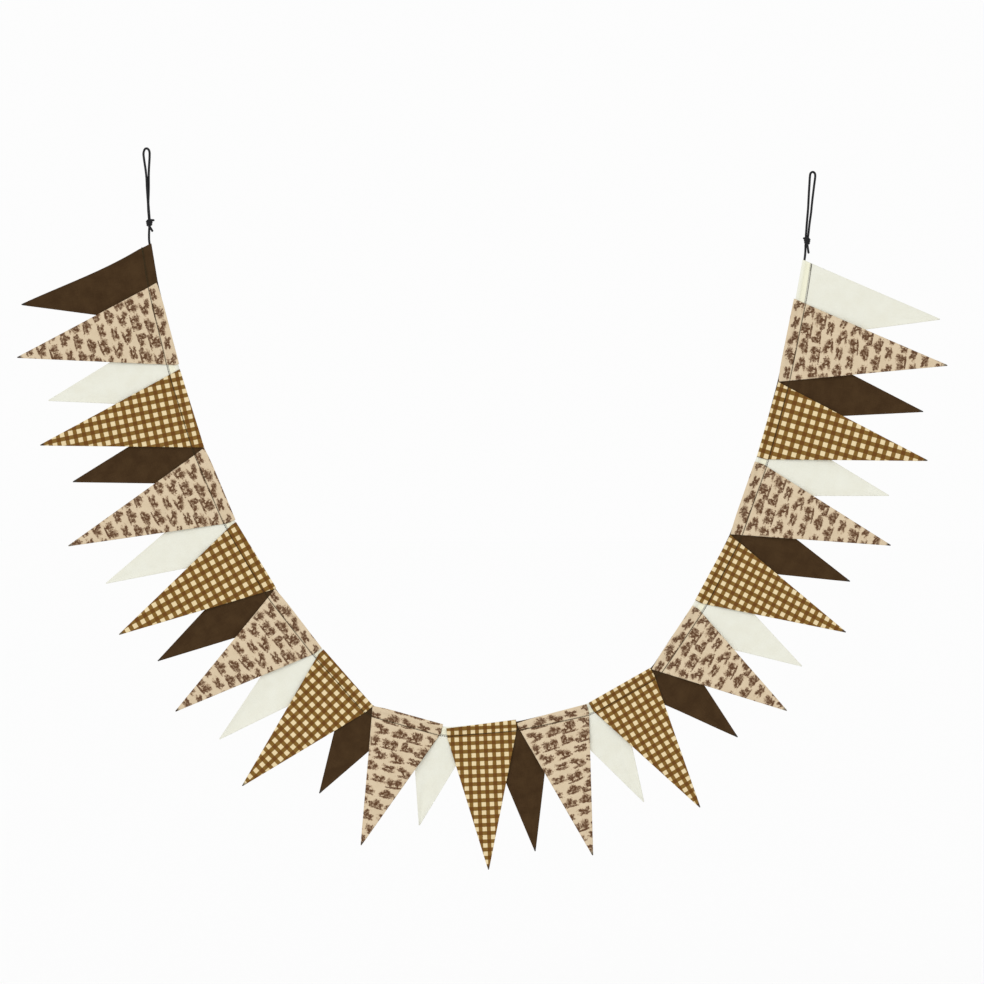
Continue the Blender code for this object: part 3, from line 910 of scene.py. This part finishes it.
def calc(operation, *values):
    return added("ShaderNodeMath", dict(enumerate(values)), operation=operation)[0]


def ease(value, low, high, start=0.0, end=1.0):
    """A soft step from start at low to end at high."""
    numbered = dict(enumerate((value, low, high, start, end)))
    return added("ShaderNodeMapRange", numbered, interpolation_type="SMOOTHSTEP")[0]


def between(value, least, most):
    """Least where the value is nought, and most where it is one."""
    return value * (most - least) + least


def fade(value, low, high):
    """A soft step from one at low to nought at high."""
    return ease(value, low, high, 1.0, 0.0)


def mixed(share, first, second):
    """A colour between two others."""
    return added("ShaderNodeMix", {"Factor": share, 6: first, 7: second}, data_type="RGBA")[2]


def parts_of(vector):
    """The x and y of a vector."""
    return added("ShaderNodeSeparateXYZ", {0: vector})[:2]


def joined(x, y):
    return added("ShaderNodeCombineXYZ", {0: x, 1: y})[0]


def grain(vector, scale, detail=2.0):
    """A soft random value around one half."""
    return added("ShaderNodeTexNoise", {"Vector": vector, "Scale": scale, "Detail": detail})[0]


def by_name(values):
    return {value.socket.name: value for value in values}


def new_group(name, vector, outputs, **numbers):
    """An empty node group, its inputs (a vector, and numbers with their usual value) and outputs."""
    tree = bpy.data.node_groups.new(name, "ShaderNodeTree")
    tree.interface.new_socket(vector, in_out="INPUT", socket_type="NodeSocketVector")
    for label, number in numbers.items():
        socket = tree.interface.new_socket(
            label.replace("_", " "), in_out="INPUT", socket_type="NodeSocketFloat")
        socket.default_value = number
    for label in outputs:
        tree.interface.new_socket(label, in_out="OUTPUT", socket_type="NodeSocketFloat")
    given = by_name(Value(socket) for socket in tree.nodes.new("NodeGroupInput").outputs)
    return tree, given, tree.nodes.new("NodeGroupOutput").inputs


def placed(group, **inputs):
    """What a node group gives, by name, with these inputs."""
    spaced = {label.replace("_", " "): value for label, value in inputs.items()}
    return by_name(added("ShaderNodeGroup", spaced, node_tree=group))


def dye(*levels):
    """A colour as a screen shows it, from 0 to 255, turned into the linear values that light needs."""
    shares = [level / 255 for level in levels]
    linear = [share / 12.92 if share <= 0.04045 else ((share + 0.055) / 1.055) ** 2.4 for share in shares]
    return (*linear, 1.0)

# %% [markdown]
# ### Weave
#
# Plain weave is a checkerboard: in one square a lengthwise thread is on top, in the next a crosswise
# one. Each is a rounded ridge, so a sine across the thread makes its height. No thread is spun
# quite evenly either. Two stretched noises, one for each direction, give the thick and thin
# places.

# %% Weave
THREADS = 2200.0  # to the metre
DIP = 0.55  # height of a thread where it goes under another, when its crest is one
SLUB = (1200.0, 60.0)  # thick and thin places to the metre, across the threads and along them
weave, given, gives = new_group("Plain weave", "Cloth", ["Height", "Slub"], Threads=THREADS)
across, down = parts_of(given["Cloth"])
warp, weft = across * given["Threads"], down * given["Threads"]
over = calc("FLOORED_MODULO", calc("FLOOR", warp) + calc("FLOOR", weft), 2.0)
warp_ridge, weft_ridge = (calc("ABSOLUTE", calc("SINE", thread * math.pi)) for thread in (warp, weft))
warp_top = warp_ridge * between(weft_ridge, DIP, 1.0)
weft_top = weft_ridge * between(warp_ridge, DIP, 1.0)
feed(gives["Height"], warp_top + (weft_top - warp_top) * over)
along_warp = grain(joined(across * SLUB[0], down * SLUB[1]), 1.0)
along_weft = grain(joined(across * SLUB[1], down * SLUB[0]), 1.0)
feed(gives["Slub"], (along_warp + along_weft) * 0.5)
print("weave:", len(weave.nodes), "nodes")

# %% [markdown]
# ### Seam and cut edges
#
# The thread pulls a shallow groove into the cloth, deeper at each needle hole, and the groove is also
# painted darker as shade. Above it the cloth lies doubled and lets less light through, so it looks
# yellower; this band fades out before the fold, and the greyer strip left there is painted shade on the
# rounded casing. Near the cut sides the print fades to plain ground in stretches, and the point is
# darkened as painted shade.

# %% Seam and edges
seam, given, gives = new_group("Seam in cloth", "Seam", ["Groove", "Double"])
along_seam, below_seam = parts_of(given["Seam"])
holes = calc("COSINE", along_seam * (2 * math.pi / STITCH_PITCH))
groove = fade(calc("ABSOLUTE", below_seam), 0.4 * MM, 1.5 * MM)
# Groove: the seam's dent for the relief, and also the mask of its painted shade
feed(gives["Groove"], groove * (holes * 0.25 + 0.75))
above_seam = fade(below_seam, -0.6 * MM, 0.6 * MM)
# Double: one on the doubled band above the seam, fading out towards the fold, where painted shade on the
# rounded casing is left
feed(gives["Double"], above_seam * ease(below_seam, -16.0 * MM, -7.0 * MM))

edges, given, gives = new_group("Cut edges", "Cut", ["Rim", "Tip"])
inside_side, above_tip = parts_of(given["Cut"])
feed(gives["Rim"], fade(inside_side, 1.4 * MM, 3.4 * MM))
# Tip: one at the point, the mask of its painted shade
feed(gives["Tip"], fade(above_tip, 3.0 * MM, 9.5 * MM))
print("seam and edges made")

# %% [markdown]
# ### Checks
#
# Where two bars cross, the brown is deeper and redder. A little noise keeps the edges of the bars
# from being ruler-straight, as a weaver's threads would.

# %% Checks
BAR = 6.25  # mm, the width of a brown bar
BAR_EDGE = 0.3  # mm, how far its edge is soft, inwards and outwards
BAR_WOBBLE = 0.45 * MM
checks, given, gives = new_group("Checks", "Cloth", ["Bars", "Crossings"])
wobble = between(grain(given["Cloth"], 500.0), -BAR_WOBBLE, BAR_WOBBLE)


def bar_mask(metres):
    """One inside the brown bars of one direction and nought between them."""
    nearest = calc("PINGPONG", metres + wobble, CHECK_REPEAT * MM / 2)
    return fade(nearest, (BAR / 2 - BAR_EDGE) * MM, (BAR / 2 + BAR_EDGE) * MM)


one_way, other_way = (bar_mask(metres) for metres in parts_of(given["Cloth"]))
feed(gives["Bars"], calc("MAXIMUM", one_way, other_way))
feed(gives["Crossings"], one_way * other_way)
print("check repeats every", CHECK_REPEAT, "mm")

# %% [markdown]
# ### The country print
#
# The printed cloth is beige with brown sketches, each on a bank of its own. This design is a general
# one in the manner of old country prints. It is laid out in cells, like printing blocks. Each cell
# picks one of six sketches at random, turns some of them round, shifts and tips them and makes some
# larger. A sketch is a handful of brush strokes: ellipses whose edges a noise breaks up, strongly
# for leaves and lightly for trunks.

# %% Sketches
CELL = (28.0, 19.5)  # mm along the fold and down
Stroke = namedtuple("Stroke", "leafy x y half_length half_width turn")
# Leafy or plain, then places and half sizes in mm from the middle of the cell, y down the
# pennant, and the turn in degrees
ROUND_TREE = (
    (True, -3.2, -2.4, 7.0, 4.9, 8), (False, -2.8, 2.4, 1.4, 3.6, 6), (True, 6.8, 2.0, 4.6, 3.0, -15),
    (True, 0.4, 5.8, 10.4, 1.8, -4))
TWIN_TREES = (
    (True, -5.8, -1.8, 5.2, 5.2, 10), (True, 5.0, -0.4, 6.4, 4.2, -8), (False, -5.6, 3.4, 1.2, 2.8, -5),
    (False, 5.0, 3.4, 1.2, 2.4, 8), (True, -0.8, 6.0, 10.6, 1.6, 5))
LEANING_TREE = (
    (True, 3.8, -3.6, 7.4, 3.6, -16), (True, -6.2, 1.0, 4.4, 3.7, 20), (False, 0.6, 1.4, 1.4, 5.0, 28),
    (True, -1.8, 5.5, 9.2, 2.1, 7))
HEDGE = (
    (True, -7.0, 1.2, 4.4, 3.5, 0), (True, 0.0, -1.2, 4.8, 5.4, 12), (True, 7.2, 1.4, 4.6, 3.4, -10),
    (True, 0.4, 5.4, 11.0, 1.9, 3))
FIRS = (
    (True, -7.0, -0.4, 2.7, 5.8, 4), (True, -1.8, -2.0, 3.0, 6.6, -3), (True, 6.2, 1.2, 5.8, 3.7, -6),
    (True, 0.0, 5.7, 10.4, 1.9, -3))
ROCKS = (
    (True, -5.0, -2.2, 5.8, 2.8, 24), (True, 5.2, -1.4, 4.8, 3.2, -18), (True, -0.6, 3.6, 10.8, 2.7, 6),
    (False, 2.2, -0.2, 6.4, 1.1, 40))
SKETCHES = [[Stroke(*mark) for mark in sketch]
            for sketch in (ROUND_TREE, TWIN_TREES, LEANING_TREE, HEDGE, FIRS, ROCKS)]

stroke, given, gives = new_group(
    "Brush stroke", "Place", ["Distance"], X=0.0, Y=0.0, Half_length=1.0, Half_width=1.0, Turn=0.0)
x, y = parts_of(given["Place"])
x, y = x - given["X"], y - given["Y"]
cosine, sine = calc("COSINE", given["Turn"]), calc("SINE", given["Turn"])
run = (x * cosine + y * sine) / given["Half length"]
rise = (y * cosine - x * sine) / given["Half width"]
feed(gives["Distance"], calc("SQRT", run * run + rise * rise))
print("sketches:", len(SKETCHES), "with", sum(len(sketch) for sketch in SKETCHES), "strokes")

# %% [markdown]
# The print puts the cells together. Every row starts a little further along. Of the six sketches
# only the cell's own one counts: the others are pushed far away, so the nearest stroke is always
# its own. Around the strokes lies a paler wash, the same distance cut off further out, and inside
# the leaves dabs of the brush leave some of the cloth showing.

# %% Print
RAGGED = 1.9  # mm, how far the edges of leaves are broken up, a little less for trunks
FAR = 50.0  # added to the distance of the sketches that a cell doesn't show
ROW_SHIFT = 0.37  # how much further along each row starts, in cells
printed, given, gives = new_group("Country print", "Cloth", ["Ink", "Wash"])
across, down = parts_of(given["Cloth"])
rows_down = down / (CELL[1] * MM)
row = calc("FLOOR", rows_down)
place_in_row = across / (CELL[0] * MM) + calc("FRACT", row * ROW_SHIFT)
column = calc("FLOOR", place_in_row)
chance, chances = added("ShaderNodeTexWhiteNoise", {"Vector": joined(column, row)}, noise_dimensions="2D")
chance_x, chance_y = parts_of(chances)
mirrored = between(calc("GREATER_THAN", chance_x, 0.5), -1.0, 1.0)
cell_x = ((place_in_row - column - 0.5) * CELL[0] + between(chance_y, -2.0, 2.0)) * mirrored
cell_y = (rows_down - (row + 0.5)) * CELL[1] + between(chance_x, -1.5, 1.5)
tip_over = between(chance_y, -0.15, 0.15)
shrunk = between(chance_x, 0.8, 1.12)
spot = joined((cell_y * tip_over + cell_x) * shrunk, (cell_y - cell_x * tip_over) * shrunk)
choice = calc("FLOOR", chance * (len(SKETCHES) - 0.001))
nearest = {True: FAR, False: FAR}
for number, sketch in enumerate(SKETCHES):
    other = between(calc("COMPARE", choice, float(number), 0.1), 1.0, 0.0)
    for mark in sketch:
        gap = placed(stroke, Place=spot, X=mark.x, Y=mark.y, Half_length=mark.half_length,
                     Half_width=mark.half_width, Turn=math.radians(mark.turn))["Distance"]
        nearest[mark.leafy] = calc("MINIMUM", nearest[mark.leafy], other * FAR + gap)
fine, coarse, dab = (grain(given["Cloth"], scale) for scale in (480.0, 190.0, 260.0))
ragged = between(fine + coarse, -RAGGED, 0.0)
leaf_gap = nearest[True] + ragged
line_gap = ragged * 0.8 + nearest[False]
leaves = fade(leaf_gap, 0.85, 1.1) * ease(dab, 0.34, 0.56, 0.45, 1.0)
feed(gives["Ink"], calc("MAXIMUM", leaves, fade(line_gap, 0.8, 1.25)))
feed(gives["Wash"], fade(calc("MINIMUM", leaf_gap, line_gap), 1.0, 1.5))
print("print:", len(printed.nodes), "nodes")

# %% [markdown]
# ### The four cloths
#
# A cloth's material reads the UV maps of its pennant: Bolt for weave, print and checks, Seam for the
# groove and the doubled band, Cut for the edges. One function wires what they share and takes a
# function for the colour, and it adds painted shade at the point, in the seam's groove and in the
# hollows of the weave. Roughness is high and there is a little sheen, as cotton has.

# %% Cloth materials
WEAVE_DEPTH = 0.12 * MM
SLUB_DEPTH, GROOVE_DEPTH = 0.8, 2.4  # when the weave's depth is one


def uv(tree, name):
    return added("ShaderNodeUVMap", {}, tree, uv_map=name)[0]


def new_material(name):
    """A new material and its tree."""
    material = bpy.data.materials.new(name)
    material.use_nodes = True
    return material, material.node_tree


def finish(tree, **values):
    """Feed the shader of a material."""
    for label, value in values.items():
        feed(tree.nodes["Principled BSDF"].inputs[label.replace("_", " ")], value)


def bumped(height, strength, distance):
    """The normals of a surface with this relief."""
    return added("ShaderNodeBump", {"Strength": strength, "Distance": distance, "Height": height})[0]


def cloth_material(name, colour, threads=THREADS, painted_tip_shade=True):
    """Colour is a function of the bolt's UVs, the slub, the doubled-cloth mask with its painted fold
    shade, and the rim's. Painted shade then darkens the point, the seam's groove and the hollows of the
    weave.
    """
    material, tree = new_material(name)
    bolt = uv(tree, "Bolt")
    woven = placed(weave, Cloth=bolt, Threads=threads)
    sewn = placed(seam, Seam=uv(tree, "Seam"))
    cut = placed(edges, Cut=uv(tree, "Cut"))
    tone = colour(bolt, woven["Slub"], sewn["Double"], cut["Rim"])
    if painted_tip_shade:
        # Painted shade at the point of the pennant
        tone = mixed(cut["Tip"] * 0.8, tone, dye(54, 54, 50))
    # Painted shade in the seam's groove, where the pulled-in cloth lies in shade
    tone = mixed(sewn["Groove"] * 0.55, tone, dye(44, 38, 20))
    # Painted shade in the hollows of the weave: darker where the threads dip
    tone = mixed(between(woven["Height"], 0.16, 0.0), tone, dye(20, 16, 12))
    height = woven["Slub"] * SLUB_DEPTH + (sewn["Groove"] * -GROOVE_DEPTH + woven["Height"])
    finish(tree, Base_Color=tone, Roughness=between(woven["Slub"], 0.76, 0.96), Specular_IOR_Level=0.1,
           Sheen_Weight=0.03, Sheen_Roughness=0.5, Normal=bumped(height, 0.55, WEAVE_DEPTH))
    return material


def mottled(bolt, slub, light, dark):
    """A dyed colour that is never quite even."""
    share = grain(bolt, 45.0, 3.0) * 0.5 + slub * 0.5
    return mixed(ease(share, 0.35, 0.65), light, dark)


def brown_colour(bolt, slub, double_and_fold_shade, rim):
    return mottled(bolt, slub, dye(72, 52, 29), dye(60, 41, 20))


def cream_colour(bolt, slub, double_and_fold_shade, rim):
    single = mottled(bolt, slub, dye(236, 236, 223), dye(232, 231, 216))
    # The yellower doubled band; the greyer single colour left near the fold is painted shade
    return mixed(double_and_fold_shade, single, dye(242, 240, 216))


def print_colour(strength):
    def colour(bolt, slub, double_and_fold_shade, rim):
        ground = mottled(bolt, slub, dye(221, 202, 172), dye(213, 193, 162))
        inked = placed(printed, Cloth=bolt)
        tone = mixed(inked["Wash"] * (0.6 * strength), ground, dye(162, 130, 99))
        tone = mixed(inked["Ink"] * strength, tone, dye(88, 56, 32))
        stretches = ease(grain(bolt, 11.0), 0.5, 0.62, 0.0, 0.6)
        return mixed(rim * stretches, tone, ground)
    return colour


def check_colour(strength):
    def colour(bolt, slub, double_and_fold_shade, rim):
        light = mottled(bolt, slub, dye(236, 217, 174), dye(229, 208, 162))
        bars = mottled(bolt, slub, dye(137, 103, 48), dye(124, 91, 38))
        squares = placed(checks, Cloth=bolt)
        tone = mixed(squares["Bars"] * strength, light, bars)
        return mixed(squares["Crossings"] * strength, tone, dye(110, 71, 28))
    return colour


CLOTHS = {
    "toile": (cloth_material("printed face", print_colour(0.95)),
              cloth_material("printed reverse", print_colour(0.3))),
    "gingham": (cloth_material("checked face", check_colour(1.0)),
                cloth_material("checked reverse", check_colour(0.93))),
    "brown": (cloth_material("brown face", brown_colour, 2000.0),) * 2,
    "cream": (cloth_material("cream face", cream_colour, 2300.0, False),) * 2,
}
for pennant, cloth, node, size, area in pennants:
    for material in CLOTHS[cloth]:
        pennant.data.materials.append(material)
print("cloths:", ", ".join(CLOTHS))

# %% [markdown]
# ### Elastic and thread
#
# Round elastic is covered with yarns, which show from near as fine ribs across it. A wave along the
# UVs of the cord draws them as relief, and the troughs between them are painted darker as shade; a
# noise along it keeps them from being all alike. The thread of the seam is only a twist of fibres, a
# fine noise.

# %% Elastic and thread materials
RIB_PITCH = 0.65 * MM
RIB_DEPTH = 0.18 * MM
elastic, tree = new_material("black elastic")
cord_place = uv(tree, "Cord")
wave = calc("SINE", parts_of(cord_place)[1] * (math.pi / RIB_PITCH))
fuzz = grain(cord_place, 900.0)
ribs = fuzz * 0.5 + wave * wave
# Darker between the ribs: painted shade; the noise in it is uneven yarn
tone = mixed(ease(ribs, 0.2, 1.1), dye(18, 18, 19), dye(33, 33, 35))
finish(tree, Base_Color=tone, Roughness=between(fuzz, 0.5, 0.75), Specular_IOR_Level=0.2,
       Normal=bumped(ribs, 0.7, RIB_DEPTH))

thread, tree = new_material("dark thread")
fibres = grain(by_name(added("ShaderNodeTexCoord", {}, tree))["Object"], 4000.0)
finish(tree, Base_Color=mixed(fibres, dye(42, 35, 20), dye(64, 55, 32)),
       Roughness=between(fibres, 0.55, 0.75), Specular_IOR_Level=0.1)
for pieces, material in ((elastic_pieces, elastic), (thread_pieces, thread)):
    for piece in pieces:
        piece.data.materials.append(material)
print("elastic and thread made")

# %% [markdown]
# ## Floor and light
#
# The bunting hangs in a white studio: a wide pale floor well below it, a white sky that lights every
# side evenly, and one large soft lamp from the upper left to show the folds. The lamp is a sun with
# a wide disc, because its light is as strong on the last pennant as on the first.

# %% Floor and light
FLOOR_DROP = 0.75  # metres from the lowest point down to the floor
FLOOR_HALF = 60.0
FLOOR_GREY = 0.905  # with the lamp's light on it, as bright as the sky behind
SKY = 0.98  # just under white
LAMP_STRENGTH = 0.6
LAMP_FROM = Vector((-0.45, -0.75, 0.55))
LAMP_DISC = math.radians(35)
floor_mesh = bmesh.new()
bmesh.ops.create_grid(floor_mesh, x_segments=4, y_segments=4, size=FLOOR_HALF)
floor_place = (PICTURE_CENTRE.x, 0.0, cad_box[0][2] - FLOOR_DROP)
bmesh.ops.translate(floor_mesh, vec=floor_place, verts=floor_mesh.verts)
floor = add_object("floor", data_of(floor_mesh, "floor"))
floor_finish, tree = new_material("pale floor")
finish(tree, Base_Color=(FLOOR_GREY, FLOOR_GREY, FLOOR_GREY, 1.0), Roughness=1.0, Specular_IOR_Level=0.0)
floor.data.materials.append(floor_finish)

world = bpy.data.worlds.new("white studio")
world.use_nodes = True
sky = world.node_tree.nodes["Background"].inputs
feed(sky["Color"], (1.0, 1.0, 1.0, 1.0))
feed(sky["Strength"], SKY)
bpy.context.scene.world = world

lamp_data = bpy.data.lights.new("soft lamp", "SUN")
lamp_data.angle = LAMP_DISC
lamp_data.energy = LAMP_STRENGTH
lamp = add_object("soft lamp", lamp_data)
lamp.rotation_euler = LAMP_FROM.to_track_quat("Z", "Y").to_euler()
bpy.context.scene.view_settings.view_transform = "Standard"
